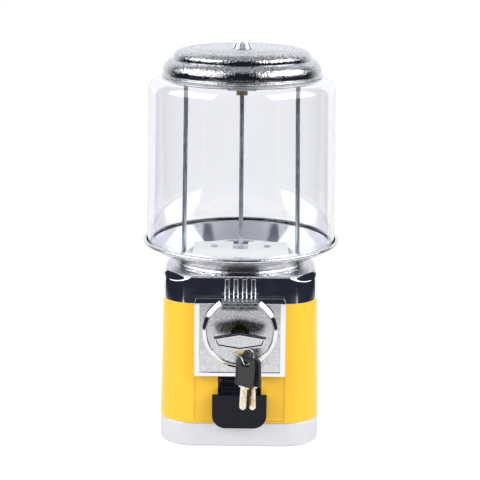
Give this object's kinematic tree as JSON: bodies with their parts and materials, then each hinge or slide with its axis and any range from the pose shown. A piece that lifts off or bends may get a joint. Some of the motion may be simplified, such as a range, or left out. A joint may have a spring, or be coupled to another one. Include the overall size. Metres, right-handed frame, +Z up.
{
  "type": "gumball machine",
  "caption": "Countertop gumball machine with a clear globe, chrome hopper and lid, yellow body, turn-handle coin mechanism, flap and hanging keys.",
  "frame": {"origin": "on the table under the middle of the base", "axes": "+Z up, the handle and flap face -Y, +X to the right seen from the front"},
  "size_m": [0.195, 0.2153, 0.3863],
  "materials": {
    "silver_base": "satin silver paint",
    "yellow_paint": "semi-gloss powder coat",
    "chrome": "polished",
    "pebbled_chrome": "polished over a pebbled casting",
    "clear_globe": "clear polycarbonate",
    "cream_plastic": "moulded",
    "white_plastic": "moulded",
    "zinc_steel": "zinc plated",
    "brass": "turned",
    "black_plastic": "moulded",
    "key_plastic": "moulded",
    "key_nickel": "nickel plated",
    "ring_steel": "bright wire",
    "rubber": "matte",
    "brush_fibre": "bristles"
  },
  "bodies": {
    "root": {"base_pan": "silver_base", "body_shell": "yellow_paint", "top_housing": "chrome", "dial_ring": "chrome", "coin_hood": "chrome", "tray": "pebbled_chrome", "mech_plate": "pebbled_chrome", "dial_disc": "pebbled_chrome", "globe": "clear_globe", "cover_plate": "cream_plastic", "wheel_housing": "white_plastic", "wheel_bush": "white_plastic", "centre_rod": "zinc_steel", "side_rod_left": "zinc_steel", "side_rod_right": "zinc_steel", "rod_nuts": "zinc_steel", "base_nut": "zinc_steel", "base_washer": "zinc_steel", "crossbar": "zinc_steel", "cover_screws": "zinc_steel", "mech_back_plate": "zinc_steel", "mech_spacers": "zinc_steel", "mech_screws": "zinc_steel", "pawl_pin": "zinc_steel", "pawl_spring": "zinc_steel", "flap_pin": "zinc_steel", "brass_nut": "brass", "brass_bush": "brass", "chute": "black_plastic", "rubber_feet": "rubber", "brush_strips": "brush_fibre"},
    "handle_shaft": {"handle": "chrome", "key_stud": "brass", "mech_shaft": "zinc_steel", "coin_carrier": "zinc_steel", "ratchet_wheel": "zinc_steel", "drive_pinion": "white_plastic", "shaft_clip": "zinc_steel"},
    "wheel": {"dispensing_wheel": "white_plastic"},
    "pawl": {"pawl": "zinc_steel"},
    "flap": {"chute_flap": "black_plastic"},
    "lid": {"lid": "pebbled_chrome", "lock_barrel": "chrome", "lock_nut": "zinc_steel"},
    "lock_plug": {"lock_plug": "zinc_steel"},
    "ring": {"key_ring": "ring_steel"},
    "key_a": {"key_a_head": "key_plastic", "key_a_blade": "key_nickel"},
    "key_b": {"key_b_head": "key_plastic", "key_b_blade": "key_nickel"}
  },
  "joints": [
    {"name": "handle_turn", "type": "hinge", "parent": "root", "child": "handle_shaft", "pos_m": [0, -0.09, 0.1198], "axis": [0, 1, 0], "continuous": true},
    {"name": "wheel_turn", "type": "hinge", "parent": "root", "child": "wheel", "pos_m": [0, 0, 0.16], "axis": [0, 0, 1], "continuous": true},
    {"name": "pawl_lift", "type": "hinge", "parent": "root", "child": "pawl", "pos_m": [0.026, -0.07, 0.127], "axis": [0, 1, 0], "range_deg": [0, 12], "stiffness_Nm_per_rad": 0.01, "springref_deg": -11.46},
    {"name": "flap_swing", "type": "hinge", "parent": "root", "child": "flap", "pos_m": [0, -0.073, 0.067], "axis": [-1, 0, 0], "range_deg": [0, 36]},
    {"name": "lid_lift", "type": "slide", "parent": "root", "child": "lid", "axis": [0, 0, 1], "range_m": [0, 0.06]},
    {"name": "lock_turn", "type": "hinge", "parent": "lid", "child": "lock_plug", "pos_m": [0, 0, 0.38], "axis": [0, 0, 1], "range_deg": [0, 90]},
    {"name": "ring_swing", "type": "hinge", "parent": "handle_shaft", "child": "ring", "pos_m": [0, -0.103, 0.1081], "axis": [0, 1, 0], "range_deg": [-15, 15]},
    {"name": "key_a_swing", "type": "hinge", "parent": "ring", "child": "key_a", "pos_m": [0.0062, -0.1115, 0.0948], "axis": [0.5446, 0.8387, 0], "range_deg": [-12, 12]},
    {"name": "key_b_swing", "type": "hinge", "parent": "ring", "child": "key_b", "pos_m": [0.0094, -0.1066, 0.095], "axis": [0.5446, 0.8387, 0], "range_deg": [-12, 12]}
  ],
  "couplings": [
    {"joint": "wheel_turn", "follows": "handle_turn", "ratio": 0.5}
  ]
}
